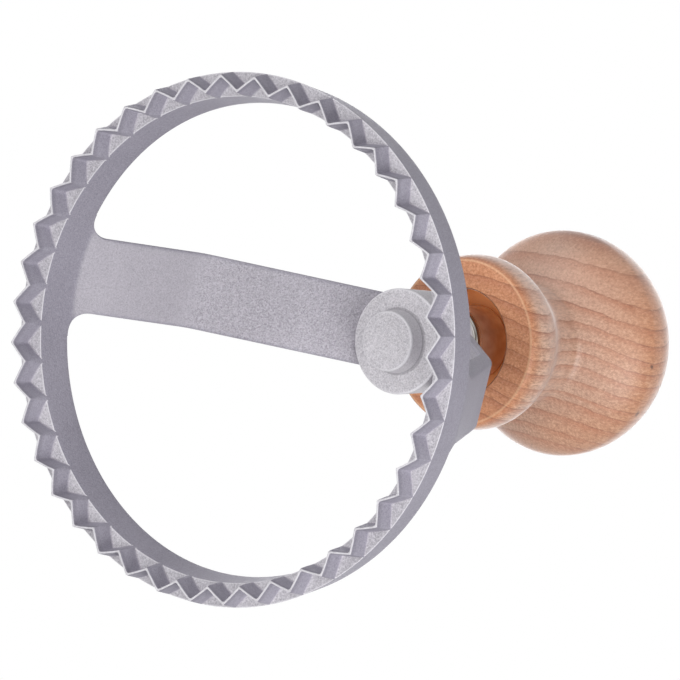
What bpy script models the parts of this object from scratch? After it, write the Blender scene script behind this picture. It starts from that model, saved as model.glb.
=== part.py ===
"""Ravioli stamp: a cast aluminium cutting ring on a bent bridge, with a turned beech handle.

Metres, +Z up. The stamp stands on its cutting edge: the origin is the centre of the ring in the plane of
the edge, the bridge runs along X, and the handle's knob is at the top.
"""
import cmath
import math

import bmesh
import bpy

# Cutting crown: a zigzag wall that is thin at its edge and grows towards its root on the ring.
TEETH = 40
FIRST_TOOTH_DEG = 0.8
EDGE_RADIUS = 0.04765
EDGE_TOOTH_DEPTH = 0.00255
EDGE_LAND = 0.0007
EDGE_ROUNDING = 0.0004
CROWN_HEIGHT = 0.0040
TIP_DRAFT = 0.0010
HOLLOW_DRAFT = 0.0004
INNER_HOLLOW_DRAFT = 0.0006
INNER_TIP_DRAFT = 0.0013
ROOT_FILLET = 0.0009

# Ring: both walls lean inwards as they rise.
RING_SHOULDER = 0.00052
RING_WALL = 0.0044
RING_HEIGHT = 0.00687
OUTER_LEAN_DEG = 10.4
INNER_LEAN_DEG = 8.2
RING_EDGE_ROUNDING = 0.0005

# Bridge: two mirrored arms, each a flat bar with one bend, wider and thicker at its foot on the ring.
ARM_WIDTH = 0.0143
ARM_SIDE_DRAFT = 0.0004
ARM_THICKNESS = 0.0028
ARM_EDGE_ROUNDING = 0.0006
ARM_FOOT_INSET = 0.0002
ARM_FOOT_FILLET = 0.0045
ARM_FOOT_DEPTH = 0.0042
STEEP_LEAN_DEG = 24.8
SHALLOW_LEAN_DEG = 44.9
BEND_RADIUS = 0.0100

# Hub: a short cylinder that stands a little proud of the arms, with a round boss below it.
HUB_RADIUS = 0.0098
HUB_DRAFT = 0.0004
HUB_HEIGHT = 0.0112
HUB_FACE_Z = 0.0553
HUB_EDGE_ROUNDING = 0.0004
HUB_PROUD = 0.0011
BOSS_RADIUS = 0.0056
BOSS_HEIGHT = 0.0036
BOSS_DRAFT = 0.0003
BOSS_FILLET = 0.0004

# Stud and ferrule between the hub and the handle.
STUD_RADIUS = 0.0030
STUD_DEPTH_IN_HUB = 0.0075
STUD_DEPTH_IN_HANDLE = 0.0180
STUD_TIP_CHAMFER = 0.0006
SEAT_CLEARANCE = 0.0003
FERRULE_RADIUS = 0.0069
FERRULE_RIDGES = 3
FERRULE_RIDGE_PITCH = 0.0011
FERRULE_RIDGE_HEIGHT = 0.0006
FERRULE_FIRST_RIDGE = 0.0035

# Handle: one turned piece with a counterbored front face, a collar, a waist and a round knob.
HANDLE_STANDOFF = 0.00955
RECESS_RADIUS = 0.01005
RECESS_DEPTH = 0.0055
FACE_RADIUS = 0.0153
FACE_DISH = 0.00045
COLLAR_RADIUS = 0.0164
COLLAR_LENGTH = 0.0045
WAIST_RADIUS = 0.0112
COVE_LENGTH = 0.0130
KNOB_RADIUS = 0.02134
KNOB_CENTRE = 0.0337
KNOB_UPPER = 0.0187
KNOB_LOWER = 0.0128
KNOB_ROUNDNESS = 1.9
KNOB_BLEND = 8.0

ROUND_STEPS = 64
FERRULE_STEPS = 40
STUD_STEPS = 32

# Heights that follow from the sizes above.
RING_TOP_Z = CROWN_HEIGHT + RING_HEIGHT
HUB_BACK_Z = HUB_FACE_Z + HUB_HEIGHT
HANDLE_FACE_Z = HUB_BACK_Z + HANDLE_STANDOFF
RECESS_FLOOR_Z = HANDLE_FACE_Z + RECESS_DEPTH


def material(name, colour, roughness, metallic):
    """One Principled material."""
    made = bpy.data.materials.new(name)
    made.use_nodes = True
    shader = made.node_tree.nodes["Principled BSDF"]
    shader.inputs["Base Color"].default_value = (*colour, 1.0)
    shader.inputs["Roughness"].default_value = roughness
    shader.inputs["Metallic"].default_value = metallic
    return made


def finish(name, bm, made_of, sharp_deg):
    """Turn a bmesh into a smooth-shaded object of one material."""
    bmesh.ops.recalc_face_normals(bm, faces=bm.faces)
    mesh = bpy.data.meshes.new(name)
    bm.to_mesh(mesh)
    bm.free()
    mesh.materials.append(made_of)
    mesh.shade_smooth()
    mesh.set_sharp_from_angle(angle=math.radians(sharp_deg))
    made = bpy.data.objects.new(name, mesh)
    bpy.context.scene.collection.objects.link(made)
    return made


def turned(name, outline, steps, made_of):
    """Spin an outline of (radius, height) points, which starts and ends on the axis, round Z."""
    bm = bmesh.new()
    verts = [bm.verts.new((r, 0.0, z)) for r, z in outline]
    edges = [bm.edges.new(pair) for pair in zip(verts, verts[1:])]
    bmesh.ops.spin(bm, geom=verts + edges, cent=(0, 0, 0), axis=(0, 0, 1), angle=math.tau,
                   steps=steps, use_merge=True)
    bmesh.ops.remove_doubles(bm, verts=bm.verts, dist=1e-6)
    return finish(name, bm, made_of, 35)


def quarter_round(corner, start, end, steps):
    """Points of a quarter round that leaves `start` towards `corner` and arrives at `end`."""
    points = []
    for i in range(steps + 1):
        turn = 0.5 * math.pi * i / steps
        a = 1.0 - math.sin(turn)
        b = 1.0 - math.cos(turn)
        points.append((corner[0] + (start[0] - corner[0]) * a + (end[0] - corner[0]) * b,
                       corner[1] + (start[1] - corner[1]) * a + (end[1] - corner[1]) * b))
    return points


# Cutting crown and ring.

def outer_wall(z):
    """Radius of the ring's outer wall at a height."""
    root = EDGE_RADIUS + RING_SHOULDER
    return root - math.tan(math.radians(OUTER_LEAN_DEG)) * (z - CROWN_HEIGHT)


def inner_wall(z):
    """Radius of the ring's inner wall at a height."""
    root = EDGE_RADIUS + RING_SHOULDER - RING_WALL
    return root - math.tan(math.radians(INNER_LEAN_DEG)) * (z - CROWN_HEIGHT)


def cross_circle(start, end, radius):
    """Point where the line from `start` to `end` first meets a circle round the axis."""
    along = end - start
    a = abs(along) ** 2
    b = (start * along.conjugate()).real
    c = abs(start) ** 2 - radius ** 2
    root = math.sqrt(b * b - a * c)
    steps = sorted(((-b - root) / a, (-b + root) / a), key=abs)
    return start + along * steps[0]


def rounded_corner(before, corner, after, rounding):
    """Three points that round a corner of the zigzag."""
    toward_before = before - corner
    toward_after = after - corner
    first = corner + toward_before * (rounding / abs(toward_before))
    last = corner + toward_after * (rounding / abs(toward_after))
    return [first, (first + 2 * corner + last) / 4, last]


def clipped_corner(before, corner, after, radius):
    """Three points that cut a corner of the zigzag off along a wall of the ring."""
    return [cross_circle(corner, before, radius), cmath.rect(radius, cmath.phase(corner)),
            cross_circle(corner, after, radius)]


def zigzag(radius_on_tooth, radius_between, roundings, wall=None, clip_tooth=True):
    """One level of a face of the crown, six points for each tooth, as complex numbers in its plane.

    The first three points of a tooth lie round its own direction, the last three between it and the next.
    A wall radius cuts off the corners that point at that wall.
    """
    pitch = math.tau / TEETH
    points = []
    for tooth in range(TEETH):
        turn = math.radians(FIRST_TOOTH_DEG) + pitch * tooth
        between_before = cmath.rect(radius_between, turn - pitch / 2)
        on_tooth = cmath.rect(radius_on_tooth, turn)
        between = cmath.rect(radius_between, turn + pitch / 2)
        next_tooth = cmath.rect(radius_on_tooth, turn + pitch)
        if wall is not None and clip_tooth:
            points += clipped_corner(between_before, on_tooth, between, wall)
        else:
            points += rounded_corner(between_before, on_tooth, between, roundings[0])
        if wall is not None and not clip_tooth:
            points += clipped_corner(on_tooth, between, next_tooth, wall)
        else:
            points += rounded_corner(on_tooth, between, next_tooth, roundings[1])
    return points


def ring_of_verts(bm, points, z):
    """Vertices at one height from points given as complex numbers."""
    return [bm.verts.new((p.real, p.imag, z)) for p in points]


def band(bm, lower, upper):
    """Faces between two closed loops of vertices with as many points each."""
    count = len(lower)
    for i in range(count):
        j = (i + 1) % count
        bm.faces.new((lower[i], lower[j], upper[j], upper[i]))


def crown_face(bm, outside):
    """The outer or inner face of the crown, from the edge up to its root; returns both end loops."""
    if outside:
        edge_radii = (EDGE_RADIUS, EDGE_RADIUS - EDGE_TOOTH_DEPTH)
        root_radii = (edge_radii[0] + TIP_DRAFT, edge_radii[1] + HOLLOW_DRAFT)
        wall = outer_wall
        point = 0
    else:
        edge_radii = (EDGE_RADIUS - EDGE_LAND, EDGE_RADIUS - EDGE_LAND - EDGE_TOOTH_DEPTH)
        root_radii = (edge_radii[0] - INNER_HOLLOW_DRAFT, edge_radii[1] - INNER_TIP_DRAFT)
        wall = inner_wall
        point = 1
    edge_rounding = (EDGE_ROUNDING, EDGE_ROUNDING)
    root_rounding = (EDGE_ROUNDING, ROOT_FILLET) if outside else (ROOT_FILLET, EDGE_ROUNDING)

    # The wall starts to cut the corners where the pointed side of the zigzag reaches it.
    gap_at_edge = wall(0.0) - edge_radii[point]
    gap_at_root = wall(CROWN_HEIGHT) - root_radii[point]
    share = min(max(gap_at_edge / (gap_at_edge - gap_at_root), 0.1), 0.9)
    middle_radii = [a + (b - a) * share for a, b in zip(edge_radii, root_radii)]
    middle_rounding = [a + (b - a) * share for a, b in zip(edge_rounding, root_rounding)]

    edge = ring_of_verts(bm, zigzag(*edge_radii, edge_rounding), 0.0)
    middle = ring_of_verts(bm, zigzag(*middle_radii, middle_rounding), CROWN_HEIGHT * share)
    root = ring_of_verts(bm, zigzag(*root_radii, root_rounding, wall(CROWN_HEIGHT), outside), CROWN_HEIGHT)
    band(bm, edge, middle)
    band(bm, middle, root)
    return edge, root


def lands(bm, root, wall_radius, outside):
    """The three-cornered lands between the crown's root and one wall; returns the loop along the wall."""
    count = len(root)
    first = 2 if outside else -1
    loop = []
    for tooth in range(TEETH):
        shore = [root[(6 * tooth + first + i) % count] for i in range(5)]
        chord = shore[0].co + shore[-1].co
        middle = cmath.rect(wall_radius, math.atan2(chord.y, chord.x))
        on_wall = bm.verts.new((middle.real, middle.imag, CROWN_HEIGHT))
        bm.faces.new(shore + [on_wall])
        corner = [root[(6 * tooth + first - 2 + i) % count] for i in range(3)]
        loop += corner + [on_wall]
    return loop


def lifted(bm, loop, radius, z):
    """Copy of a loop at another radius and height, each point in its own direction from the axis."""
    return [bm.verts.new((v.co.x / v.co.xy.length * radius, v.co.y / v.co.xy.length * radius, z)) for v in loop]


def flat_top(bm, loops):
    """The ring's flat top between its two rounded edges, whose points lie in different directions."""
    edges = []
    for loop in loops:
        edges += [bm.edges.get((v, loop[(i + 1) % len(loop)])) for i, v in enumerate(loop)]
    bmesh.ops.triangle_fill(bm, use_beauty=True, edges=edges, normal=(0, 0, 1))


def crown_and_ring(made_of):
    """The ring with its cutting crown, as one closed body."""
    bm = bmesh.new()
    outer_edge, outer_root = crown_face(bm, True)
    inner_edge, inner_root = crown_face(bm, False)
    band(bm, outer_edge, inner_edge)

    outline = []
    for wall, side in ((outer_wall, -1), (inner_wall, 1)):
        below = RING_TOP_Z - RING_EDGE_ROUNDING
        start = (wall(below), below)
        corner = (wall(RING_TOP_Z), RING_TOP_Z)
        end = (corner[0] + side * RING_EDGE_ROUNDING, RING_TOP_Z)
        outline.append(quarter_round(corner, start, end, 2))

    top_edges = []
    for root, wall, outside in ((outer_root, outer_wall, True), (inner_root, inner_wall, False)):
        loop = lands(bm, root, wall(CROWN_HEIGHT), outside)
        for radius, z in outline[0 if outside else 1]:
            upper = lifted(bm, loop, radius, z)
            band(bm, loop, upper)
            loop = upper
        top_edges.append(loop)
    flat_top(bm, top_edges)
    return finish("casting", bm, made_of, 28)


# Bridge.

def bent_line(foot, bend, end, radius, steps):
    """Foot, the points of a round bend of a given radius, and end."""
    first = (bend[0] - foot[0], bend[1] - foot[1])
    second = (end[0] - bend[0], end[1] - bend[1])
    first_turn = math.atan2(first[1], first[0])
    second_turn = math.atan2(second[1], second[0])
    sweep = second_turn - first_turn
    tangent = radius * math.tan(abs(sweep) / 2)
    side = math.copysign(1.0, sweep)
    start = (bend[0] - tangent * math.cos(first_turn), bend[1] - tangent * math.sin(first_turn))
    centre = (start[0] - side * radius * math.sin(first_turn), start[1] + side * radius * math.cos(first_turn))
    points = [foot]
    for i in range(steps + 1):
        turn = first_turn + sweep * i / steps
        points.append((centre[0] + side * radius * math.sin(turn), centre[1] - side * radius * math.cos(turn)))
    return points + [end]


def on_line(a, b, z):
    """Radius on the line through two (radius, height) points at a height."""
    return a[0] + (b[0] - a[0]) * (z - a[1]) / (b[1] - a[1])


def arm_section(under, outer, half_width, curl):
    """One section of an arm from its underside and outer point: (x, y, z) points round a rounded bar.

    `curl` of 1 bends the section round the ring's axis, as at the foot; 0 leaves it flat.
    """
    thickness = math.dist(under, outer)
    soft = ARM_EDGE_ROUNDING / thickness
    half_outer = half_width - ARM_SIDE_DRAFT
    flat = (-1.0, -0.5, 0.0, 0.5, 1.0)
    flanks = []
    for across in flat:
        flanks.append((0.0, across * (half_width - ARM_EDGE_ROUNDING)))
    corner_out = quarter_round((half_width, 0.0), (half_width - ARM_EDGE_ROUNDING, 0.0), (half_width, soft), 2)
    corner_back = quarter_round((half_outer, 1.0), (half_outer, 1.0 - soft),
                                (half_outer - ARM_EDGE_ROUNDING, 1.0), 2)
    for y, depth in corner_out[1:] + corner_back:
        flanks.append((depth, y))
    for across in flat[1:-1]:
        flanks.append((1.0, -across * (half_outer - ARM_EDGE_ROUNDING)))
    for y, depth in reversed(corner_out[1:] + corner_back):
        flanks.append((depth, -y))

    points = []
    for depth, y in flanks:
        x = under[0] + (outer[0] - under[0]) * depth
        z = under[1] + (outer[1] - under[1]) * depth
        bow = x - math.sqrt(x * x - y * y) if x > abs(y) else 0.0
        points.append((x - curl * bow, y, z))
    return points


def arm_sections():
    """Sections of one arm, from inside the ring's wall to inside the hub."""
    foot_under = (inner_wall(RING_TOP_Z), RING_TOP_Z)
    hub_under = (HUB_RADIUS, HUB_FACE_Z + HUB_PROUD)
    steep_run = math.tan(math.radians(STEEP_LEAN_DEG))
    shallow_run = math.tan(math.radians(SHALLOW_LEAN_DEG))
    bend_z = (hub_under[0] + shallow_run * hub_under[1] - foot_under[0] - steep_run * foot_under[1])
    bend_z /= shallow_run - steep_run
    bend_under = (hub_under[0] + shallow_run * (hub_under[1] - bend_z), bend_z)
    slope = math.atan2(hub_under[1] - bend_under[1], hub_under[0] - bend_under[0])
    normal = (math.sin(slope), -math.cos(slope))
    reach = HUB_RADIUS - math.sqrt((HUB_RADIUS - HUB_DRAFT) ** 2 - (ARM_WIDTH / 2) ** 2)
    run = (reach + 2 * ARM_THICKNESS * normal[0]) / -math.cos(slope)
    end_under = (hub_under[0] + run * math.cos(slope), hub_under[1] + run * math.sin(slope))

    foot_outer = (outer_wall(RING_TOP_Z) - ARM_FOOT_INSET, RING_TOP_Z)
    steep = math.atan2(bend_under[1] - foot_under[1], bend_under[0] - foot_under[0])
    halfway = 0.5 * (slope + steep)
    miter = ARM_THICKNESS / math.cos(0.5 * (slope - steep))
    bend_outer = (bend_under[0] + miter * math.sin(halfway), bend_under[1] - miter * math.cos(halfway))
    end_outer = (end_under[0] + ARM_THICKNESS * normal[0], end_under[1] + ARM_THICKNESS * normal[1])

    half_width = ARM_WIDTH / 2
    sections = []
    buried_z = RING_TOP_Z - ARM_FOOT_DEPTH
    flare_steps = 5
    heights = [(buried_z, ARM_FOOT_FILLET)]
    for i in range(flare_steps + 1):
        turn = 0.5 * math.pi * i / flare_steps
        heights.append((RING_TOP_Z + ARM_FOOT_FILLET * (1 - math.cos(turn)),
                        ARM_FOOT_FILLET * (1 - math.sin(turn))))
    for z, flare in heights:
        curl = min(max((bend_under[1] - z) / (bend_under[1] - RING_TOP_Z), 0.0), 1.0)
        under = (min(on_line(foot_under, bend_under, z), inner_wall(z) + ARM_FOOT_INSET), z)
        outer = (min(on_line(foot_outer, bend_outer, z), outer_wall(z) - ARM_FOOT_INSET), z)
        sections.append(arm_section(under, outer, half_width + flare, curl))

    bend_steps = 4
    under_line = bent_line(foot_under, bend_under, end_under, BEND_RADIUS, bend_steps)
    outer_line = bent_line(foot_outer, bend_outer, end_outer, BEND_RADIUS + ARM_THICKNESS, bend_steps)
    for under, outer in zip(under_line[1:], outer_line[1:]):
        sections.append(arm_section(under, outer, half_width, 0.0))
    return sections


def bridge(made_of):
    """Both arms, the second the first turned half round."""
    bm = bmesh.new()
    for side in (1, -1):
        loops = []
        for section in arm_sections():
            loops.append([bm.verts.new((side * x, side * y, z)) for x, y, z in section])
        for lower, upper in zip(loops, loops[1:]):
            band(bm, lower, upper)
        bm.faces.new(loops[0])
        bm.faces.new(loops[-1])
    made = finish("bridge", bm, made_of, 28)
    hide(made)
    return made


# Hub.

def hub(made_of):
    """The hub with its boss below, turned."""
    boss_face_z = HUB_FACE_Z - BOSS_HEIGHT
    boss_foot = BOSS_RADIUS + BOSS_DRAFT
    back_radius = HUB_RADIUS - HUB_DRAFT
    soft = HUB_EDGE_ROUNDING
    outline = [(0.0, boss_face_z)]
    outline += quarter_round((BOSS_RADIUS, boss_face_z), (BOSS_RADIUS - soft, boss_face_z),
                             (BOSS_RADIUS, boss_face_z + soft), 2)
    outline += quarter_round((boss_foot, HUB_FACE_Z), (boss_foot, HUB_FACE_Z - BOSS_FILLET),
                             (boss_foot + BOSS_FILLET, HUB_FACE_Z), 2)
    outline += quarter_round((HUB_RADIUS, HUB_FACE_Z), (HUB_RADIUS - soft, HUB_FACE_Z),
                             (HUB_RADIUS, HUB_FACE_Z + soft), 2)
    outline += quarter_round((back_radius, HUB_BACK_Z), (back_radius, HUB_BACK_Z - soft),
                             (back_radius - soft, HUB_BACK_Z), 2)
    outline.append((0.0, HUB_BACK_Z))
    made = turned("hub", outline, ROUND_STEPS, made_of)
    hide(made)
    return made


def stud_hole(made_of):
    """The blind hole in the hub's back for the stud, as a cutter."""
    radius = STUD_RADIUS + SEAT_CLEARANCE
    floor_z = HUB_BACK_Z - STUD_DEPTH_IN_HUB - SEAT_CLEARANCE
    above = HUB_BACK_Z + STUD_RADIUS
    outline = [(0.0, floor_z), (radius, floor_z), (radius, above), (0.0, above)]
    made = turned("stud_hole", outline, STUD_STEPS, made_of)
    hide(made)
    return made


def hide(made):
    """Mark an object as a tool of a Boolean."""
    made.hide_render = True
    made.display_type = "WIRE"


def combine(target, tool, operation):
    """Add an exact Boolean to an object."""
    step = target.modifiers.new(tool.name, "BOOLEAN")
    step.operation = operation
    step.solver = "EXACT"
    step.object = tool


def casting(made_of):
    """Ring, crown, bridge and hub in one piece."""
    made = crown_and_ring(made_of)
    combine(made, bridge(made_of), "UNION")
    combine(made, hub(made_of), "UNION")
    combine(made, stud_hole(made_of), "DIFFERENCE")
    return made


# Stud and ferrule.

def stud(made_of):
    """The stud that joins hub and handle; its thread is left plain."""
    low = HUB_BACK_Z - STUD_DEPTH_IN_HUB
    high = RECESS_FLOOR_Z + STUD_DEPTH_IN_HANDLE
    tip = STUD_RADIUS - STUD_TIP_CHAMFER
    outline = [(0.0, low), (tip, low), (STUD_RADIUS, low + STUD_TIP_CHAMFER),
               (STUD_RADIUS, high - STUD_TIP_CHAMFER), (tip, high), (0.0, high)]
    return turned("stud", outline, STUD_STEPS, made_of)


def ferrule(made_of):
    """The ridged sleeve on the stud, from the hub's back to the floor of the handle's recess."""
    bore = STUD_RADIUS + SEAT_CLEARANCE
    low = HUB_BACK_Z + SEAT_CLEARANCE
    high = RECESS_FLOOR_Z - SEAT_CLEARANCE
    soft = FERRULE_RIDGE_HEIGHT / 2
    outline = [(bore, low), (FERRULE_RADIUS - soft, low), (FERRULE_RADIUS, low + soft)]
    for ridge in range(FERRULE_RIDGES):
        centre = low + FERRULE_FIRST_RIDGE + FERRULE_RIDGE_PITCH * ridge
        for across, out in ((-0.45, 0.0), (-0.2, 0.8), (0.0, 1.0), (0.2, 0.8), (0.45, 0.0)):
            outline.append((FERRULE_RADIUS + FERRULE_RIDGE_HEIGHT * out, centre + FERRULE_RIDGE_PITCH * across))
    outline += [(FERRULE_RADIUS, high - soft), (FERRULE_RADIUS - soft, high), (bore, high)]

    bm = bmesh.new()
    verts = [bm.verts.new((r, 0.0, z)) for r, z in outline]
    edges = [bm.edges.new((verts[i - 1], verts[i])) for i in range(len(verts))]
    bmesh.ops.spin(bm, geom=verts + edges, cent=(0, 0, 0), axis=(0, 0, 1), angle=math.tau,
                   steps=FERRULE_STEPS, use_merge=True)
    return finish("ferrule", bm, made_of, 35)


# Handle.

def cove_radius(height):
    """Radius of the handle between collar and waist, `height` above the collar's widest place."""
    share = min(max(height / COVE_LENGTH, 0.0), 1.0)
    return COLLAR_RADIUS + (WAIST_RADIUS - COLLAR_RADIUS) * share * share * (3 - 2 * share)


def knob_point(turn):
    """Point of the knob's superellipse: `turn` runs from -90 degrees below to 90 degrees above."""
    power = 2 / KNOB_ROUNDNESS
    length = KNOB_UPPER if turn > 0 else KNOB_LOWER
    up = math.copysign(abs(math.sin(turn)) ** power, turn)
    return KNOB_RADIUS * abs(math.cos(turn)) ** power, HANDLE_FACE_Z + KNOB_CENTRE + length * up


def handle(made_of):
    """The handle, turned: collar, cove and waist blend softly into the knob."""
    bore = STUD_RADIUS + SEAT_CLEARANCE
    bore_end_z = RECESS_FLOOR_Z + STUD_DEPTH_IN_HANDLE + SEAT_CLEARANCE
    outline = [(0.0, bore_end_z), (bore, bore_end_z), (bore, RECESS_FLOOR_Z), (RECESS_RADIUS, RECESS_FLOOR_Z),
               (RECESS_RADIUS, HANDLE_FACE_Z)]
    rim_z = HANDLE_FACE_Z + FACE_DISH
    widest_z = rim_z + COLLAR_LENGTH
    outline += quarter_round((COLLAR_RADIUS, rim_z), (FACE_RADIUS, rim_z), (COLLAR_RADIUS, widest_z), 5)

    cove_steps = 9
    for i in range(1, cove_steps):
        height = COVE_LENGTH * i / cove_steps
        outline.append((cove_radius(height), widest_z + height))

    knob_steps = 24
    lowest = math.radians(-85)
    for i in range(knob_steps + 1):
        turn = lowest + (0.5 * math.pi - lowest) * i / knob_steps
        radius, z = knob_point(turn)
        if turn < 0:
            waist = cove_radius(z - widest_z)
            radius = (radius ** KNOB_BLEND + waist ** KNOB_BLEND) ** (1 / KNOB_BLEND)
        outline.append((radius, z))
    outline[-1] = (0.0, outline[-1][1])
    return turned("handle", outline, ROUND_STEPS, made_of)


def main():
    """Clear the scene and build the stamp."""
    for old in list(bpy.data.objects):
        bpy.data.objects.remove(old, do_unlink=True)
    aluminium = material("aluminium", (0.60, 0.59, 0.62), 0.55, 0.85)
    beech = material("beech", (0.74, 0.46, 0.28), 0.45, 0.0)
    steel = material("plated_steel", (0.72, 0.71, 0.69), 0.22, 1.0)
    casting(aluminium)
    stud(steel)
    ferrule(steel)
    handle(beech)


main()
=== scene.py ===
import math

import bmesh
import bpy
import numpy as np
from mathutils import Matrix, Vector


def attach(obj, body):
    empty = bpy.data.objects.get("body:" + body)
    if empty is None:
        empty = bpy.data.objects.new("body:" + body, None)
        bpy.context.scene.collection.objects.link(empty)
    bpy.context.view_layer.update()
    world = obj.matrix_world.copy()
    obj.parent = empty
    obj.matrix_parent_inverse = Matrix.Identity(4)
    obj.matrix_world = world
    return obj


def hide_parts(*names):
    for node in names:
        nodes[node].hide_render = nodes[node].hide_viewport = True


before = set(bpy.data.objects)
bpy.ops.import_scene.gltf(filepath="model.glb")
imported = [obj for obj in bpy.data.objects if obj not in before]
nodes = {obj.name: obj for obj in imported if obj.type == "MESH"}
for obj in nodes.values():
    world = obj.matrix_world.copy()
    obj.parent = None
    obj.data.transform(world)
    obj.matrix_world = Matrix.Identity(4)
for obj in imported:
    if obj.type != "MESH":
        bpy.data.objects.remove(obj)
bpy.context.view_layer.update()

scene = bpy.context.scene


# Casting: cutting crown, ring, bridge and hub are one piece of cast aluminium, blasted to an even matt
# grey. The crown's edge is dressed bright. Painted highlights brighten the outer edges of its lands and the
# rims of the hub and of the boss, and painted light and shade set its grey by which way each face turns.

TEETH = 40
FIRST_TOOTH_DEG = 0.8
EDGE_RADIUS = 47.65
TOOTH_DEPTH = 2.8
EDGE_WIDTH = 0.41
CROWN_HEIGHT = 4.0
OUTER_CROWN_HEIGHT = 3.8
TIP_DRAFT = 0.62
HOLLOW_DRAFT = 0.5
INNER_HOLLOW_DRAFT = 0.7
INNER_TIP_DRAFT = 1.2
TIP_SOFTNESS = 0.14
HOLLOW_SOFTNESS = 0.4
EDGE_SOFTNESS = 0.08
LAND_FILLET = 0.25
LAND_EDGE = 0.14
LAND_CREASE = 0.12
FLANK_START = 0.35
WALL_START = 0.6
COLUMNS_PER_TOOTH = 32
COLUMN_CROWDING = 0.055

RING_ROOT = 48.2
RING_WALL = 4.43
RING_TOP = 10.87
OUTER_LEAN = math.tan(math.radians(10.4))
INNER_LEAN = math.tan(math.radians(8.2))
RING_EDGE = 0.5
RING_INNER_EDGE = 0.2

ARM_WIDTH = 14.3
ARM_DRAFT = 0.4
ARM_THICKNESS = 2.8
ARM_UNDER_EDGE = 0.5
ARM_TOP_EDGE = 1.2
CREASE_HEIGHT = 11.6
UNDER_CREASE = 0.35
OUTER_CREASE = 0.9
FOOT_INSET = 0.2
FOOT_FILLET = 4.5
FOOT_DEPTH = 4.2
STEEP_LEAN = math.tan(math.radians(24.8))
SHALLOW_LEAN = math.tan(math.radians(44.9))
BEND_RADIUS = 10.0
BEND_LOW = 31.0
FOOT_ROWS = 17
LEG_ROWS = 12
BEND_STEPS = 14
FLAT_COLUMNS = 17
UNDER_EDGE_STEPS = 5
TOP_EDGE_STEPS = 8

HUB_RADIUS = 9.8
HUB_DRAFT = 0.4
HUB_FACE = 55.3
HUB_BACK = 66.5
HUB_EDGE = 0.4
HUB_PROUD = 1.1
BOSS_RADIUS = 5.6
BOSS_HEIGHT = 3.6
BOSS_DRAFT = 0.3
BOSS_FILLET = 0.4
BOSS_FLAT = 1.2
HUB_ROUND_STEPS = 6
HUB_COLUMNS = 160
STUD_HOLE = (3.3, 58.7)
STUD_HOLE_COLUMNS = 96
STUD_HOLE_OVER = 3

MM = 0.001
MERGE_WITHIN = 2e-6
NO_LENGTH = 1e-6


def grid_piece(name, points, close_u=True, close_v=False, caps=False):
    """Mesh object from a grid of points in millimetres, rows by columns, its faces wound the same way."""
    rows, columns = points.shape[:2]
    index = np.arange(rows * columns).reshape(rows, columns)
    right = np.roll(index, -1, axis=1) if close_u else index[:, 1:]
    left = index if close_u else index[:, :-1]
    if close_v:
        quads = np.stack([left, right, np.roll(right, -1, axis=0), np.roll(left, -1, axis=0)], axis=-1)
    else:
        quads = np.stack([left[:-1], right[:-1], right[1:], left[1:]], axis=-1)
    faces = quads.reshape(-1, 4).tolist()
    if caps:
        faces += [index[0][::-1].tolist(), index[-1].tolist()]
    mesh = bpy.data.meshes.new(name)
    mesh.from_pydata((points.reshape(-1, 3) * MM).tolist(), [], faces)
    made = bpy.data.objects.new(name, mesh)
    scene.collection.objects.link(made)
    return made


def cleaned(made, sharp_deg=None):
    """Merge doubles, drop faces of no area, turn every face outwards and shade smooth."""
    bm = bmesh.new()
    bm.from_mesh(made.data)
    bmesh.ops.remove_doubles(bm, verts=bm.verts, dist=MERGE_WITHIN)
    bmesh.ops.dissolve_degenerate(bm, edges=bm.edges, dist=NO_LENGTH)
    bmesh.ops.recalc_face_normals(bm, faces=bm.faces)
    bm.to_mesh(made.data)
    bm.free()
    made.data.shade_smooth()
    if sharp_deg:
        made.data.set_sharp_from_angle(angle=math.radians(sharp_deg))
    return made


def arc(corner, start, end, steps):
    """Points of a quarter round in a plane: start eases towards the corner by 1 - sin, end by 1 - cos."""
    turn = np.linspace(0, 0.5 * np.pi, steps + 1)[:, None]
    corner, start, end = (np.array(p, float) for p in (corner, start, end))
    return corner + (start - corner) * (1 - np.sin(turn)) + (end - corner) * (1 - np.cos(turn))


def turned(name, outline, steps):
    """Outline of (radius, height) carried once round Z.

    Points on the axis close to one pole. An outline that starts off the axis closes into a ring.
    """
    outline = np.array(outline, float)
    turn = np.linspace(0, 2 * np.pi, steps, endpoint=False)
    radius = outline[:, 0, None]
    points = np.stack([radius * np.cos(turn), radius * np.sin(turn),
                       np.repeat(outline[:, 1, None], steps, axis=1)], axis=-1)
    closed = bool(outline[0, 0] > 0)
    return cleaned(grid_piece(name, points, close_v=closed))


def soft_min(a, b, width):
    """The smaller of a and b, with the crease rounded over a width: a polynomial smooth minimum."""
    share = np.clip(0.5 + 0.5 * (b - a) / width, 0, 1)
    return b + (a - b) * share - width * share * (1 - share)


def outer_wall(z):
    """Radius of the ring's outer wall: a cone that leans in as it rises."""
    return RING_ROOT - OUTER_LEAN * (z - OUTER_CROWN_HEIGHT)


def inner_wall(z):
    """Radius of the ring's inner wall: a steeper cone, one wall thickness further in."""
    return RING_ROOT - RING_WALL - INNER_LEAN * (z - CROWN_HEIGHT)


def zigzag(phase, tip, hollow, tip_soft, hollow_soft):
    """Radius of a triangle wave between tip and hollow, each corner a parabola of the given half width.

    `phase` is 0 on a tooth and 0.5 between two; a corner's parabola meets the straight flanks.
    """
    pitch = 2 * np.pi * tip / TEETH
    along = np.abs(phase - np.round(phase)) * pitch
    half = pitch / 2
    slope = (tip - hollow) / half
    from_hollow = half - along
    near_tip = np.where(along < tip_soft, (tip_soft - along) ** 2 / (2 * tip_soft), 0)
    near_hollow = np.where(from_hollow < hollow_soft, (hollow_soft - from_hollow) ** 2 / (2 * hollow_soft), 0)
    return tip - slope * along - slope * near_tip + slope * near_hollow


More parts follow.
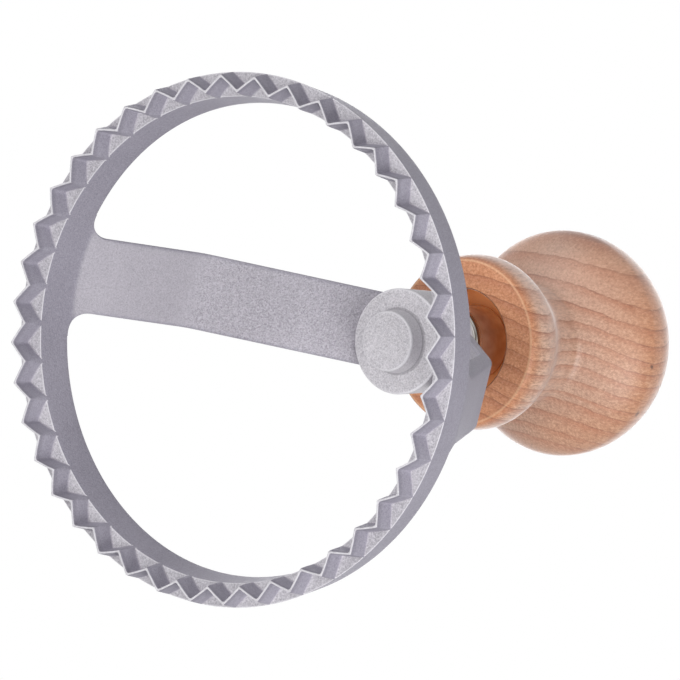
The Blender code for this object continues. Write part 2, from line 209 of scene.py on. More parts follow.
def crown_radius(phase, share, outside):
    """Radius of the crown's face at a share of its height: a zigzag that grows until the wall cuts it."""
    if outside:
        hollow = EDGE_RADIUS - TOOTH_DEPTH + HOLLOW_DRAFT * share
        wave = zigzag(phase, EDGE_RADIUS + TIP_DRAFT * share, hollow, TIP_SOFTNESS, HOLLOW_SOFTNESS)
        return soft_min(wave, outer_wall(OUTER_CROWN_HEIGHT * share), LAND_CREASE)
    tip = EDGE_RADIUS - EDGE_WIDTH
    wave = zigzag(phase, tip - INNER_HOLLOW_DRAFT * share, tip - TOOTH_DEPTH - INNER_TIP_DRAFT * share,
                  HOLLOW_SOFTNESS, TIP_SOFTNESS)
    return -soft_min(-wave, -inner_wall(CROWN_HEIGHT * share), LAND_CREASE)


def ring_side(phase, outside):
    """Rows of (radius, height) for one side of the ring, from the edge's middle to the middle of its top.

    Edge rounding, flank, fillet into the land, land, rounded land edge, wall, rounded top edge.
    """
    out = 1 if outside else -1
    wall = outer_wall if outside else inner_wall
    crown = OUTER_CROWN_HEIGHT if outside else CROWN_HEIGHT
    top_edge = RING_EDGE if outside else RING_INNER_EDGE
    root = crown_radius(phase, 1.0, outside)
    land = np.maximum(out * (wall(crown) - root), 0)
    fillet = np.minimum(LAND_FILLET, 0.45 * land)
    edge = np.minimum(LAND_EDGE, 0.45 * land)
    flat = np.ones_like(phase)
    rows = []
    for turn in np.radians((0, 30, 60, 90)):
        inset = EDGE_SOFTNESS * (1 - math.sin(turn))
        rise = EDGE_SOFTNESS * (1 - math.cos(turn))
        rows.append((crown_radius(phase, 0.0, outside) - out * inset, flat * rise))
    for z in np.linspace(FLANK_START, crown - LAND_FILLET, 10):
        rows.append((crown_radius(phase, z / crown, outside), flat * z))
    for turn in np.radians((30, 60, 90)):
        rows.append((root + out * fillet * (1 - math.cos(turn)), crown - fillet * (1 - math.sin(turn))))
    for turn in np.radians((0, 22, 45, 68, 90)):
        rows.append((wall(crown) - out * edge * (1 - math.sin(turn)), crown + edge * (1 - math.cos(turn))))
    for z in np.linspace(crown + WALL_START, RING_TOP - top_edge, 5):
        rows.append((flat * wall(z), flat * z))
    corner = (wall(RING_TOP), RING_TOP)
    start = (wall(RING_TOP - top_edge), RING_TOP - top_edge)
    for radius, z in arc(corner, start, (corner[0] - out * top_edge, RING_TOP), 5)[1:]:
        rows.append((flat * radius, flat * z))
    return rows


def ring_and_crown():
    """Ring with its crown: the outer side's rows going up and the inner side's coming down close one tube.

    The columns gather at the tips and hollows: their even steps are shifted by a sine of two waves a tooth.
    """
    step = np.arange(TEETH * COLUMNS_PER_TOOTH) / COLUMNS_PER_TOOTH
    phase = step - COLUMN_CROWDING * np.sin(4 * np.pi * step)
    turn = np.radians(FIRST_TOOTH_DEG) + 2 * np.pi * phase / TEETH
    rows = ring_side(phase, True) + ring_side(phase, False)[::-1]
    radius = np.array([r for r, _ in rows])
    height = np.array([z for _, z in rows])
    points = np.stack([radius * np.cos(turn), radius * np.sin(turn), height], axis=-1)
    return cleaned(grid_piece("cutter_casting", points, close_v=True))


def bar_section(half_width, thickness, under_edge):
    """Loop of (across, depth) round a flat bar with rounded corners; depth is 0 under it and 1 on top."""
    low_soft = under_edge / thickness
    top_soft = ARM_TOP_EDGE / thickness
    upper = half_width - ARM_DRAFT
    across = np.linspace(-1, 1, FLAT_COLUMNS)
    under = np.stack([across * (half_width - under_edge), np.zeros(FLAT_COLUMNS)], axis=-1)
    low = arc((half_width, 0), (half_width - under_edge, 0), (half_width, low_soft), UNDER_EDGE_STEPS)[1:]
    high = arc((upper, 1), (upper, 1 - top_soft), (upper - ARM_TOP_EDGE, 1), TOP_EDGE_STEPS)
    top = np.stack([-across[1:-1] * (upper - ARM_TOP_EDGE), np.ones(FLAT_COLUMNS - 2)], axis=-1)
    flip = np.array([-1, 1])
    return np.concatenate([under, low, high, top, high[::-1] * flip, low[::-1] * flip])


def along_leg(low, high, z):
    """Radius at height z on the straight line through two points of (radius, height)."""
    return low[0] + (high[0] - low[0]) * (z - low[1]) / (high[1] - low[1])


def round_bend(foot, bend, end, radius):
    """Points of (radius, height) on a round bend tangent to the legs from foot to bend and on to end."""
    foot, bend, end = (np.array(p, float) for p in (foot, bend, end))
    turns = [math.atan2(b[1] - a[1], b[0] - a[0]) for a, b in ((foot, bend), (bend, end))]
    sweep = turns[1] - turns[0]
    tangent = radius * math.tan(abs(sweep) / 2)
    side = math.copysign(1, sweep)
    start = bend - tangent * np.array([math.cos(turns[0]), math.sin(turns[0])])
    centre = start + side * radius * np.array([-math.sin(turns[0]), math.cos(turns[0])])
    turn = turns[0] + np.linspace(0, sweep, BEND_STEPS + 1)
    return centre + side * radius * np.stack([np.sin(turn), -np.cos(turn)], axis=-1)


def arm(name, side):
    """One arm: the bar's section carried from inside the ring, round its bend and into the hub.

    At the foot the section widens along a quarter round and bows round the ring's axis.
    """
    wall_top = inner_wall(RING_TOP)
    hub_under = np.array([HUB_RADIUS, HUB_FACE + HUB_PROUD])
    bend_z = hub_under[0] + SHALLOW_LEAN * hub_under[1] - wall_top - STEEP_LEAN * RING_TOP
    bend_z /= SHALLOW_LEAN - STEEP_LEAN
    bend_under = np.array([hub_under[0] + SHALLOW_LEAN * (hub_under[1] - bend_z), bend_z])
    foot_under = np.array([inner_wall(CREASE_HEIGHT), CREASE_HEIGHT])
    shallow = math.atan2(*(hub_under - bend_under)[::-1])
    steep = math.atan2(*(bend_under - foot_under)[::-1])
    normal = np.array([math.sin(shallow), -math.cos(shallow)])
    reach = HUB_RADIUS - math.sqrt((HUB_RADIUS - HUB_DRAFT) ** 2 - (ARM_WIDTH / 2) ** 2)
    run = (reach + 2 * ARM_THICKNESS * normal[0]) / -math.cos(shallow)
    end_under = hub_under + run * np.array([math.cos(shallow), math.sin(shallow)])
    foot_outer = np.array([outer_wall(RING_TOP) - FOOT_INSET, RING_TOP])
    halfway = 0.5 * (shallow + steep)
    miter = ARM_THICKNESS / math.cos(0.5 * (shallow - steep))
    bend_outer = bend_under + miter * np.array([math.sin(halfway), -math.cos(halfway)])
    end_outer = end_under + ARM_THICKNESS * normal

    turn = np.linspace(0, 0.5 * np.pi, FOOT_ROWS)
    z = np.concatenate([[RING_TOP - FOOT_DEPTH], RING_TOP + FOOT_FILLET * (1 - np.cos(turn))])
    z = np.concatenate([z, np.linspace(z[-1], BEND_LOW, LEG_ROWS)[1:]])
    flare = np.zeros_like(z)
    flare[:FOOT_ROWS + 1] = np.concatenate([[FOOT_FILLET], FOOT_FILLET * (1 - np.sin(turn))])
    under = soft_min(inner_wall(z), along_leg(foot_under, bend_under, z), UNDER_CREASE)
    outer = soft_min(outer_wall(z) - FOOT_INSET, along_leg(foot_outer, bend_outer, z), OUTER_CREASE)
    under = np.stack([under + FOOT_INSET * (z < RING_TOP), z], axis=-1)
    outer = np.stack([outer, z], axis=-1)
    under_bend = round_bend(foot_under, bend_under, end_under, BEND_RADIUS)
    outer_bend = round_bend(foot_outer, bend_outer, end_outer, BEND_RADIUS + ARM_THICKNESS)
    rise = np.linspace(0, 1, LEG_ROWS)[1:, None]
    under = np.concatenate([under, under_bend, under_bend[-1] + (end_under - under_bend[-1]) * rise])
    outer = np.concatenate([outer, outer_bend, outer_bend[-1] + (end_outer - outer_bend[-1]) * rise])
    flare = np.concatenate([flare, np.zeros(len(under) - len(z))])
    curl = np.clip((bend_under[1] - under[:, 1]) / (bend_under[1] - RING_TOP), 0, 1)
    growth = (under[:, 1] - RING_TOP) / FOOT_FILLET * (ARM_UNDER_EDGE - RING_INNER_EDGE)
    edges = np.clip(RING_INNER_EDGE + growth, RING_INNER_EDGE, ARM_UNDER_EDGE)

    rows = []
    for a, b, widen, bow, edge in zip(under, outer, flare, curl, edges):
        loop = bar_section(ARM_WIDTH / 2 + widen, math.dist(a, b), edge)
        x = a[0] + (b[0] - a[0]) * loop[:, 1]
        height = a[1] + (b[1] - a[1]) * loop[:, 1]
        y = loop[:, 0]
        inside = np.maximum(x * x - y * y, 0)
        x = x - bow * np.where(x > np.abs(y), x - np.sqrt(inside), 0)
        rows.append(np.stack([side * x, side * y, height], axis=-1))
    return cleaned(grid_piece(name, np.array(rows), caps=True))


def hub():
    """Hub with the boss below it, one turned outline with a fillet at the boss's foot."""
    boss_face = HUB_FACE - BOSS_HEIGHT
    foot = BOSS_RADIUS + BOSS_DRAFT
    back = HUB_RADIUS - HUB_DRAFT
    soft = HUB_EDGE
    steps = HUB_ROUND_STEPS
    outline = np.concatenate([
        [(0, boss_face), (BOSS_RADIUS - BOSS_FLAT, boss_face)],
        arc((BOSS_RADIUS, boss_face), (BOSS_RADIUS - soft, boss_face), (BOSS_RADIUS, boss_face + soft),
            steps),
        arc((foot, HUB_FACE), (foot, HUB_FACE - BOSS_FILLET), (foot + BOSS_FILLET, HUB_FACE), steps),
        arc((HUB_RADIUS, HUB_FACE), (HUB_RADIUS - soft, HUB_FACE), (HUB_RADIUS, HUB_FACE + soft), steps),
        arc((back, HUB_BACK), (back, HUB_BACK - soft), (back - soft, HUB_BACK), steps),
        [(0, HUB_BACK)]])
    return turned("hub", outline, HUB_COLUMNS)


def stud_hole():
    """Blind hole in the hub as a turned tool that reaches out past the hub's back."""
    radius, floor_height = STUD_HOLE
    top = HUB_BACK + STUD_HOLE_OVER
    outline = [(0, floor_height), (radius, floor_height), (radius, top), (0, top)]
    return turned("stud_hole", outline, STUD_HOLE_COLUMNS)


def combine(target, tool, operation):
    """Exact Boolean of two closed meshes, applied at once; the tool is removed."""
    step = target.modifiers.new(tool.name, "BOOLEAN")
    step.operation = operation
    step.solver = "EXACT"
    step.object = tool
    depsgraph = bpy.context.evaluated_depsgraph_get()
    mesh = bpy.data.meshes.new_from_object(target.evaluated_get(depsgraph))
    target.modifiers.clear()
    target.data = mesh
    bpy.data.objects.remove(tool, do_unlink=True)


class Signal:
    """A socket of a node tree. Arithmetic between signals and numbers adds the Math nodes for it."""

    def __init__(self, tree, socket=None):
        self.tree = tree
        self.socket = socket

    def node(self, kind, settings=None, inputs=None, out=0):
        """Add a node: settings first (a ramp's stops too), then each input's value or link."""
        made = self.tree.nodes.new("ShaderNode" + kind)
        for name, value in (settings or {}).items():
            if name == "stops":
                elements = made.color_ramp.elements
                while len(elements) < len(value):
                    elements.new(1)
                for element, (place, colour) in zip(elements, value):
                    element.position = place
                    element.color = colour
            else:
                setattr(made, name, value)
        for name, value in (inputs or {}).items():
            if isinstance(value, Signal):
                self.tree.links.new(made.inputs[name], value.socket)
            else:
                made.inputs[name].default_value = value
        return Signal(self.tree, made.outputs[out])

    def math(self, operation, *others):
        return self.node("Math", {"operation": operation}, dict(enumerate([self, *others])))

    def mix(self, a, b):
        """Colour a where this signal is 0, b where it is 1."""
        return self.node("Mix", {"data_type": "RGBA"}, {0: self, 6: a, 7: b}, 2)

    def __add__(self, other):
        return self.math("ADD", other)

    def __sub__(self, other):
        return self.math("SUBTRACT", other)

    def __rsub__(self, other):
        return self.node("Math", {"operation": "SUBTRACT"}, {0: other, 1: self})

    def __mul__(self, other):
        return self.math("MULTIPLY", other)

    __radd__ = __add__
    __rmul__ = __mul__

    def clamp(self, low, high):
        """0 below low, 1 above high, straight between."""
        return self.node("MapRange", None, {0: self, 1: low, 2: high})


def material(name, **fixed):
    """A new Principled material; fixed values go on the shader's own sockets."""
    made = bpy.data.materials.new(name)
    made.use_nodes = True
    shader = made.node_tree.nodes["Principled BSDF"]
    for socket, value in fixed.items():
        shader.inputs[socket.replace("_", " ")].default_value = value
    return made, shader, Signal(made.node_tree)


def feed(signal, shader, socket):
    """Link a signal to one of the shader's sockets."""
    signal.tree.links.new(shader.inputs[socket], signal.socket)


def millimetres(start):
    """The surface's own place in millimetres as a vector, then its x, y and z."""
    place = start.node("Mapping", None, {0: start.node("TexCoord", out=3), "Scale": (1000, 1000, 1000)})
    split = start.node("SeparateXYZ", None, {0: place}).socket.node
    return place, *(Signal(start.tree, socket) for socket in split.outputs)


def paint(red, green, blue):
    """Colour as a paint chart gives it, 0 to 255, as the shader's linear values."""
    linear = [c / 12.92 if c <= 0.04045 else ((c + 0.055) / 1.055) ** 2.4
              for c in (red / 255, green / 255, blue / 255)]
    return (*linear, 1.0)


def cast_aluminium():
    """Blasted aluminium: lilac grey; the hub is paler. Painted light makes it paler where it faces down, half
    so on arm edges.

    Painted shade darkens it where it faces up, on the teeth just above the edge and at the boss's foot. The
    cutting edge is bright, and painted highlights brighten each land's outer edge, the hub's rim and the
    boss's rim.
    """
    made, shader, start = material("cast_aluminium", Metallic=0.1, IOR=1.15)
    place, x, y, height = millimetres(start)
    reach = (x * x + y * y).math("SQRT")
    down = 0 - start.node("SeparateXYZ", None, {0: start.node("NewGeometry", out=1)}, 2)

    def ridge(radius, low, high, wide=0.24):
        """1 on a thin band round the axis, at a radius and between two heights."""
        band = 1 - (reach - radius).math("ABSOLUTE").clamp(wide - 0.16, wide)
        return band * height.clamp(low - 0.1, low) * (1 - height.clamp(high, high + 0.1))

    on_hub = height.clamp(50, 50.5) * (1 - reach.clamp(9.75, 10.0))
    arm_edge = y.math("ABSOLUTE").clamp(6.4, 6.8) * height.clamp(15, 17)
    # Painted light: faces turned down, towards the lamp below, take lighter paint, a little less on the arms'
    # rounded edges; the hub takes its own paler paint.
    lit_facing_or_hub = (down.clamp(0.25, 0.36) * (1 - arm_edge * 0.55)).math("MAXIMUM", on_hub)
    fully_lit_or_hub = down.math("ABSOLUTE").clamp(0.75, 0.95).math("MAXIMUM", on_hub)
    grain = start.node("TexNoise", None, {"Vector": place, "Scale": 2.7, "Detail": 2.5, "Roughness": 0.65})
    pits = start.node("TexNoise", None, {"Vector": place, "Scale": 4.6, "Detail": 1.0})
    cloud = start.node("TexNoise", None, {"Vector": place, "Scale": 0.07, "Detail": 3.0})
    speckle = (grain - 0.5) * 1.7 + (pits - 0.5) * 1.2
    shallow = down.clamp(0.5, 0.68)
    tone = (0.5 + speckle * (0.65 + shallow * 0.55) + (cloud - 0.5) * 0.5).clamp(0, 1)
    # Painted shade: faces turned up, away from the lamp below, are darkened further.
    upward = (0 - down).clamp(0.25, 0.4)
    # Lit and shaded copies of one grey, painted light: shaded paint where a face turns sideways or up, lit
    # paint where it turns down, the lightest where it faces straight down.
    shaded_paint = tone.mix(paint(134, 131, 142), paint(178, 174, 186))
    shaded_paint = (upward * 0.2).mix(shaded_paint, paint(70, 68, 80))
    lit_paint = tone.mix(paint(153, 149, 157), paint(201, 197, 205))
    fully_lit_paint = tone.mix(paint(164, 161, 167), paint(212, 209, 214))
    hub_face = tone.mix(paint(177, 174, 179), paint(224, 221, 225))
    colour = on_hub.mix(lit_facing_or_hub.mix(shaded_paint, fully_lit_or_hub.mix(lit_paint, fully_lit_paint)), hub_face)
    # Painted highlight: a bright line along the rounded edges where the lands meet the walls, only where they
    # face down.
    land_edge_highlight = ridge(RING_ROOT, 3.6, 4.1).math("MAXIMUM", ridge(RING_ROOT - RING_WALL, 3.7, 4.2))
    land_edge_highlight = land_edge_highlight * down.clamp(0.2, 0.4)
    boss_face = HUB_FACE - BOSS_HEIGHT
    # Painted highlight: bright lines round the rims of the hub and of the boss.
    rim_highlight = ridge(HUB_RADIUS - 0.1, HUB_FACE - 0.1, HUB_FACE + 0.35, 0.32)
    rim_highlight = rim_highlight.math("MAXIMUM", ridge(BOSS_RADIUS - 0.1, boss_face - 0.1, boss_face + 0.35, 0.32))
    colour = (land_edge_highlight.math("MAXIMUM", rim_highlight) * 0.6).mix(colour, paint(230, 228, 232))
    # Painted shade: a dark band on the teeth just above the cutting edge, and a dark line at the boss's foot.
    foot = ridge(BOSS_RADIUS + 0.35, HUB_FACE - 0.5, HUB_FACE + 0.1, 0.4)
    shade = (height.clamp(0.15, 0.35) * (1 - height.clamp(0.5, 1.3)) * 0.25).math("MAXIMUM", foot * 0.35)
    colour = shade.mix(colour, paint(84, 80, 88))
    edge = 1 - height.clamp(0.06, 0.18)
    wear = start.node("TexNoise", None, {"Vector": place, "Scale": 0.6, "Detail": 2.0}).clamp(0.35, 0.6)
    colour = (edge * (0.6 + wear * 0.4)).mix(colour, paint(214, 212, 216))
    feed(colour, shader, "Base Color")
    feed(0.55 + lit_facing_or_hub * 0.07 - edge * 0.2 + speckle * 0.15, shader, "Roughness")
    relief = speckle * (0.5 + shallow)
    bump = start.node("Bump", None, {"Strength": 0.6, "Distance": 0.00012, "Height": relief})
    feed(bump, shader, "Normal")
    return made


casting = ring_and_crown()
for limb in (arm("arm_a", 1), arm("arm_b", -1), hub()):
    combine(casting, limb, "UNION")
combine(casting, stud_hole(), "DIFFERENCE")
cleaned(casting, 30)
casting.data.materials.clear()
casting.data.materials.append(cast_aluminium())
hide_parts("casting")
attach(casting, "root")


# Stud and ferrule: a plated steel stud screws into hub and handle, and a plated sleeve with three fine
# ridges sits on it between the two.

FERRULE_BORE = 3.3
FERRULE_LOW = 66.8
FERRULE_HIGH = 81.25
FERRULE_RADIUS = 6.9
FERRULE_FIRST_RIDGE = 2.6
FERRULE_PITCH = 0.85
FERRULE_RIDGE = 0.22
FERRULE_RIDGES = 3
FERRULE_RIDGE_HALF = 0.45
FERRULE_EDGE = 0.3
FERRULE_ROWS = 120
FERRULE_COLUMNS = 128


def ferrule():
    """Turned sleeve: three ridges, each a raised cosine on the plain radius."""
    height = np.linspace(FERRULE_LOW + FERRULE_EDGE, FERRULE_HIGH - FERRULE_EDGE, FERRULE_ROWS)
    place = (height - FERRULE_LOW - FERRULE_FIRST_RIDGE) / FERRULE_PITCH
    nearest = np.clip(np.round(place), 0, FERRULE_RIDGES - 1)
    across = np.clip(np.abs(place - nearest) / FERRULE_RIDGE_HALF, 0, 1)
    radius = FERRULE_RADIUS + FERRULE_RIDGE * (0.5 + 0.5 * np.cos(np.pi * across))
    body = np.stack([radius, height], axis=-1)
    inner = FERRULE_RADIUS - FERRULE_EDGE
    outline = np.concatenate([[(FERRULE_BORE, FERRULE_LOW), (inner, FERRULE_LOW)], body,
                              [(inner, FERRULE_HIGH), (FERRULE_BORE, FERRULE_HIGH)]])
    return turned("plated_sleeve", outline, FERRULE_COLUMNS)


def plated_steel():
    """Bright plating; turning lines round the axis on the ridges, and a plain upper end whose warm tint is
    painted reflection of the beech.
    """
    made, shader, start = material("plated_steel", Metallic=1.0)
    place, _, _, height = millimetres(start)
    stretched = start.node("Mapping", None, {0: place, "Scale": (0.06, 0.06, 1)})
    lines = start.node("TexNoise", None, {"Vector": stretched, "Scale": 1.5, "Detail": 3.0, "Roughness": 0.6})
    cloud = start.node("TexNoise", None, {"Vector": place, "Scale": 0.35, "Detail": 2.0})
    plain = height.clamp(71.6, 73.2)
    ridged = lines.clamp(0.4, 0.6).mix(paint(104, 98, 92), paint(238, 236, 232))
    # Painted reflection: the plain end's warm tint adds to the real reflection of the beech in it.
    smooth = cloud.clamp(0.3, 0.7).mix(paint(210, 190, 172), paint(238, 226, 214))
    feed(plain.mix(ridged, smooth), shader, "Base Color")
    feed(0.12 + lines * 0.12 + plain * 0.14, shader, "Roughness")
    return made


plating = plated_steel()
sleeve = cleaned(ferrule(), 40)
sleeve.data.materials.append(plating)
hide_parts("ferrule")
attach(sleeve, "root")
stud = nodes["stud"]
stud.material_slots[0].material = plating


# Handle: one piece of turned beech, sanded and waxed, with a counterbored front face, a collar, a waist
# and a round knob. The growth rings show as thin dark lines.

HANDLE_FACE = 76.05
RECESS_RADIUS = 10.05
RECESS_FLOOR = 81.55
RECESS_CORNER = 0.15
RECESS_RIM = ((0, 0.2), (0.06, 0.06), (0.2, 0.02))
HANDLE_BORE = 3.3
BORE_END = 99.85
FACE_RADIUS = 15.3
FACE_DISH = 0.45
COLLAR_RADIUS = 16.4
COLLAR_LENGTH = 4.5
WAIST_RADIUS = 11.2
COVE_LENGTH = 13.0
KNOB_RADIUS = 21.34
KNOB_CENTRE = 33.7
KNOB_UPPER = 18.7
KNOB_LOWER = 12.8
KNOB_POWER = 2 / 1.9
KNOB_BLEND = 8.0
KNOB_ROWS = 72
COVE_ROWS = 28
FACE_ROWS = 14
COLLAR_STEPS = 18
HANDLE_COLUMNS = 256


def handle():
    """Turned outline: recess, face, collar, cove eased by 3t^2 - 2t^3, and a superellipse for the knob.

    Below the knob's middle, waist and knob blend through the eighth root of the sum of eighth powers.
    """
    rim = HANDLE_FACE + FACE_DISH
    widest = rim + COLLAR_LENGTH

    def cove(z):
        """Radius at a height between collar and waist."""
        t = np.clip((z - widest) / COVE_LENGTH, 0, 1)
        return COLLAR_RADIUS + (WAIST_RADIUS - COLLAR_RADIUS) * (t * t * (3 - 2 * t))

    turn = np.radians(np.linspace(-85, 90, KNOB_ROWS))
    length = np.where(turn > 0, KNOB_UPPER, KNOB_LOWER)
    radius = KNOB_RADIUS * np.abs(np.cos(turn)) ** KNOB_POWER
    z = HANDLE_FACE + KNOB_CENTRE + length * np.sign(turn) * np.abs(np.sin(turn)) ** KNOB_POWER
    blended = (radius ** KNOB_BLEND + cove(z) ** KNOB_BLEND) ** (1 / KNOB_BLEND)
    knob = np.stack([np.where(turn < 0, blended, radius), z], axis=-1)
    knob[-1, 0] = 0
    cove_z = widest + np.linspace(0, COVE_LENGTH, COVE_ROWS)[1:]
    cove_z = cove_z[cove_z < knob[0, 1] - 0.1]
    outline = np.concatenate([
        [(0, BORE_END), (HANDLE_BORE, BORE_END), (HANDLE_BORE, RECESS_FLOOR)],
        [(RECESS_RADIUS - RECESS_CORNER, RECESS_FLOOR), (RECESS_RADIUS, RECESS_FLOOR - RECESS_CORNER)],
        [(RECESS_RADIUS + outward, HANDLE_FACE + upward) for outward, upward in RECESS_RIM],
        np.stack([np.linspace(RECESS_RADIUS + 0.5, FACE_RADIUS - 0.3, FACE_ROWS),
                  HANDLE_FACE + FACE_DISH * np.linspace(0.02, 0.94, FACE_ROWS) ** 1.2], axis=-1),
        arc((COLLAR_RADIUS, rim), (FACE_RADIUS, rim), (COLLAR_RADIUS, widest), COLLAR_STEPS),
        np.stack([cove(cove_z), cove_z], axis=-1), knob])
    return turned("beech_handle", outline, HANDLE_COLUMNS)


KNOTS = (((21.25, -1.64, 109.1), 0.55), ((19.74, 8.0, 110.6), 0.8))
RING_PLACES = (-20.9, -16.9, -12.8, -9.7, -7.0, -4.2, -1.8, 0.9, 3.8, 6.6, 8.4, 11.8, 15.2, 17.7, 21.0)


def beech():
    """Waxed beech: thin late-wood lines on bowed planes, each with a redder band beside it, and short flecks.

    The growth rings follow y + 0.089 x - 0.008 x^2 in millimetres, shaken by slow noise.
    """
    made, shader, start = material("beech", IOR=1.45, Coat_Roughness=0.5, Coat_IOR=1.65,
                                   Sheen_Weight=0.65, Sheen_Roughness=0.3)
    place, x, y, z = millimetres(start)

    def noise(scale, detail, stretch=(1, 1, 1), rough=0.5):
        """Noise in millimetres, drawn out along an axis where its stretch is below 1."""
        along = start.node("Mapping", None, {0: place, "Scale": stretch})
        inputs = {"Vector": along, "Scale": scale, "Detail": detail, "Roughness": rough}
        return start.node("TexNoise", None, inputs)

    shake = (noise(0.09, 2.0, (1, 1, 0.5)) - 0.5) * 1.6 + (noise(0.5, 3.0, (1, 1, 0.6)) - 0.5) * 0.6
    depth = y + x * 0.089 - x * x * 0.008 + shake
    first, last = RING_PLACES[0], RING_PLACES[-1]
    gaps = len(RING_PLACES) - 1
    stops = [((at - first) / (last - first), (i / gaps,) * 3 + (1,)) for i, at in enumerate(RING_PLACES)]
    count = start.node("ValToRGB", {"stops": stops}, {0: depth.clamp(first, last)}) * gaps
    after = count - (count + 0.001).math("FLOOR")
    strength = noise(0.16, 3.0).clamp(0.25, 0.65)
    line = (1 - after.clamp(0.02, 0.11)).math("MAXIMUM", after.clamp(0.97, 1.0)) * (0.25 + strength * 0.75)
    band = (1 - after.clamp(0.05, 0.6)) * (0.45 + strength * 0.55)
    fibre = noise(2.2, 3.0, (1, 1, 0.35), 0.8)
    fleck = noise(1.3, 1.0, (1.0, 2.2, 0.3)).clamp(0.6, 0.7)
    warm = noise(0.05, 1.0).clamp(0.3, 0.7)
    waist = z.clamp(77.5, 82) * (1 - z.clamp(94, 112))
    front = 1 - z.clamp(76.8, 79)
    girth = z.clamp(98, 109) * (1 - z.clamp(111, 121))
    cap_sheen = z.clamp(109, 121)
    lit_side = (1 - depth.clamp(-16, -3)) * (1 - front)
    base = fibre.clamp(0.33, 0.67).mix(paint(156, 108, 80), paint(222, 178, 146))
    # Painted sheen: the waist is mixed towards a pale grey pink, standing in for the soft reflection on it.
    base = (waist * 0.5).mix(base, paint(208, 178, 164))
    # Painted light: paler towards -y, standing in for the light on that side of the handle; the front face is
    # left out.
    base = (lit_side * 0.65).mix(base, paint(226, 196, 180))
    # Painted shade: darker from the top of the waist to the knob's end, fading out under the cap's painted
    # sheen.
    base = (z.clamp(92, 104) * (1 - cap_sheen) * 0.45).mix(base, paint(144, 108, 88))
    # Painted sheen: the knob's end is mixed towards a pale lilac grey, standing in for the reflection along
    # its rim.
    base = (cap_sheen * 0.55).mix(base, paint(214, 194, 190))
    base = (warm * 0.22).mix(base, paint(214, 142, 94))
    base = (front * 0.5).mix(base, paint(204, 126, 78))
    # Painted light: a warmer orange band round the knob's widest part, where no sheen lies, beside the cap's
    # painted sheen.
    base = (girth * (0.1 + warm * 0.4)).mix(base, paint(212, 136, 84))
    base = (band * 0.8).mix(base, paint(172, 106, 74))
    base = (line * 0.5).mix(base, paint(120, 70, 46))
    base = (fleck * 0.3).mix(base, paint(140, 88, 62))
    base = ((1 - fibre.clamp(0.3, 0.5)) * (0.28 - front * 0.12)).mix(base, paint(116, 76, 54))
    base = (fibre.clamp(0.5, 0.7) * (0.26 - front * 0.14)).mix(base, paint(244, 210, 182))

    from_axis = (x * x + y * y).math("SQRT")
    recess = (1 - from_axis.clamp(10.0, 10.12)) * (1 - z.clamp(82.0, 83.0))
    rim = (1 - (from_axis - 10.15).math("ABSOLUTE").clamp(0.05, 0.2)) * (1 - z.clamp(76.2, 76.5))
    ridge = (1 - (from_axis - 15.3).math("ABSOLUTE").clamp(0.05, 0.28)) * (1 - z.clamp(76.9, 77.2))
    # Painted light: the recess is painted a strong orange, brighter than the face, standing in for the warm
    # light bounced about inside it.
    base = (recess * 0.9).mix(base, paint(230, 150, 86))
    # Painted shadow: a dark line round the mouth of the recess.
    base = (rim * 0.8).mix(base, paint(84, 48, 28))
    # Painted highlight: a light line along the face's edge at the collar.
    base = (ridge * 0.4).mix(base, paint(240, 200, 160))
    for spot, size in KNOTS:
        away = start.node("VectorMath", {"operation": "DISTANCE"}, {0: place, 1: spot}, 1)
        knot = away + (fibre - 0.5) * 0.8
        base = ((1 - knot.clamp(0.2, size)) * 0.8).mix(base, paint(74, 44, 32))
    feed(base, shader, "Base Color")
    feed(0.42 + fibre * 0.16, shader, "Roughness")
    wax = (0.35 + waist * 0.55 + cap_sheen * 0.5 - front * 0.15) * (1 - recess) * (1 - rim)
    feed(wax, shader, "Coat Weight")
    bump = start.node("Bump", None, {"Strength": 0.2, "Distance": 0.00008, "Height": fibre - line * 0.5})
    feed(bump, shader, "Normal")
    return made


grip = handle()
cleaned(grip, 40)
grip.data.materials.append(beech())
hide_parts("handle")
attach(grip, "root")


# Stage: a white sweep, soft lamps and the camera. The camera looks up at the cutting edge, so the floor
# shows only to a camera above it and never hides the stamp from below.

MIDDLE = Vector((0, 0, 0.06))
AMBIENT = (0.25, 0.25, 0.26, 1)
BACKDROP = (1, 1, 1, 1)
FLOOR_HALF = 900.0


def lamp(name, place, size, watts):
    """Square area lamp, its place and size in metres, that faces the middle of the stamp."""
    light = bpy.data.lights.new(name, "AREA")
    light.size = size
    light.energy = watts
    made = bpy.data.objects.new(name, light)
    made.location = place
    made.rotation_euler = (MIDDLE - made.location).to_track_quat("-Z", "Y").to_euler()
    scene.collection.objects.link(made)


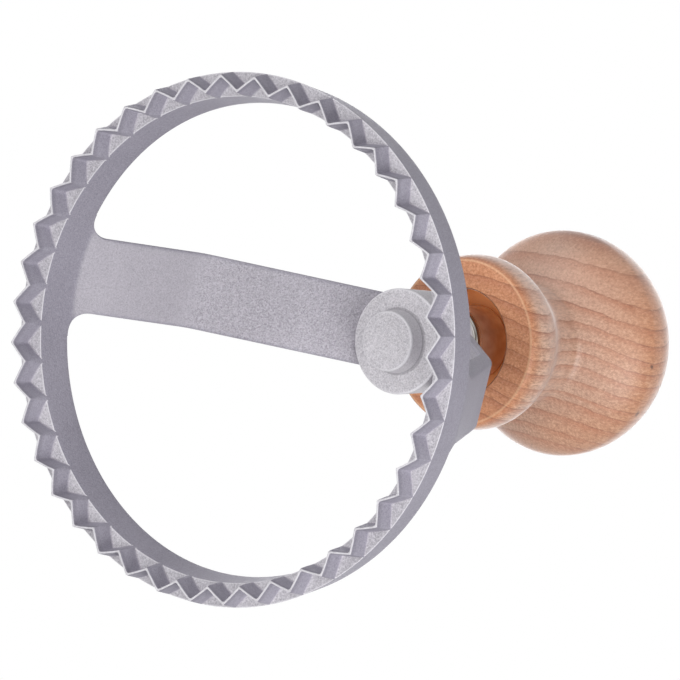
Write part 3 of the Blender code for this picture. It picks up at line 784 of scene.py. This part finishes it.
lamp("key", (0.2, 0.05, -0.9), 0.6, 5.3)
lamp("side", (0.89, 0.22, -0.2), 0.6, 6.2)
lamp("top", (-0.45, 0.1, 0.8), 0.8, 4.5)
lamp("fill", (-0.38, -0.74, -0.45), 0.8, 3.4)

world = bpy.data.worlds.new("sweep")
world.use_nodes = True
background = world.node_tree.nodes["Background"]
seen = Signal(world.node_tree)
kinds = ("Is Camera Ray", "Is Glossy Ray", "Is Transmission Ray")
direct, mirrored, through = (seen.node("LightPath", out=kind) for kind in kinds)
shown = (direct + mirrored + through).clamp(0, 1)
feed(shown.mix(AMBIENT, BACKDROP), background, "Color")
scene.world = world

corners = np.array([[(x * FLOOR_HALF, y * FLOOR_HALF, 0) for x in (-1, 1)] for y in (-1, 1)])
floor = grid_piece("floor", corners, close_u=False)
sweep = bpy.data.materials.new("floor_paint")
sweep.use_nodes = True
tree = Signal(sweep.node_tree)
spot = tree.node("TexCoord", out=3)
distance = tree.node("VectorMath", {"operation": "LENGTH"}, {0: spot}, 1)
above = (1 - tree.node("NewGeometry", out=6)) * tree.node("LightPath", out="Is Camera Ray")
above = above * (1 - distance.clamp(0.25, 0.8))
diffuse = tree.node("BsdfDiffuse", None, {"Color": (0.95, 0.95, 0.95, 1)})
glow = tree.node("Emission", None, {"Color": (0.28, 0.28, 0.28, 1)})
clear = tree.node("BsdfTransparent")
lit = tree.node("AddShader", None, {0: diffuse, 1: glow})
result = tree.node("MixShader", None, {0: above, 1: clear, 2: lit})
sweep.node_tree.links.new(sweep.node_tree.nodes["Material Output"].inputs["Surface"], result.socket)
floor.data.materials.append(sweep)

eye = bpy.data.cameras.new("camera")
eye.lens = 479.036
eye.sensor_width = 36
eye.clip_start = 0.05
eye.clip_end = 20
camera = bpy.data.objects.new("camera", eye)
camera.location = (0.91683, -0.26571, -1.31523)
camera.rotation_euler = [math.radians(a) for a in (-179.5864, -35.2199, -16.8711)]
scene.collection.objects.link(camera)
scene.camera = camera
scene.view_settings.view_transform = "Standard"
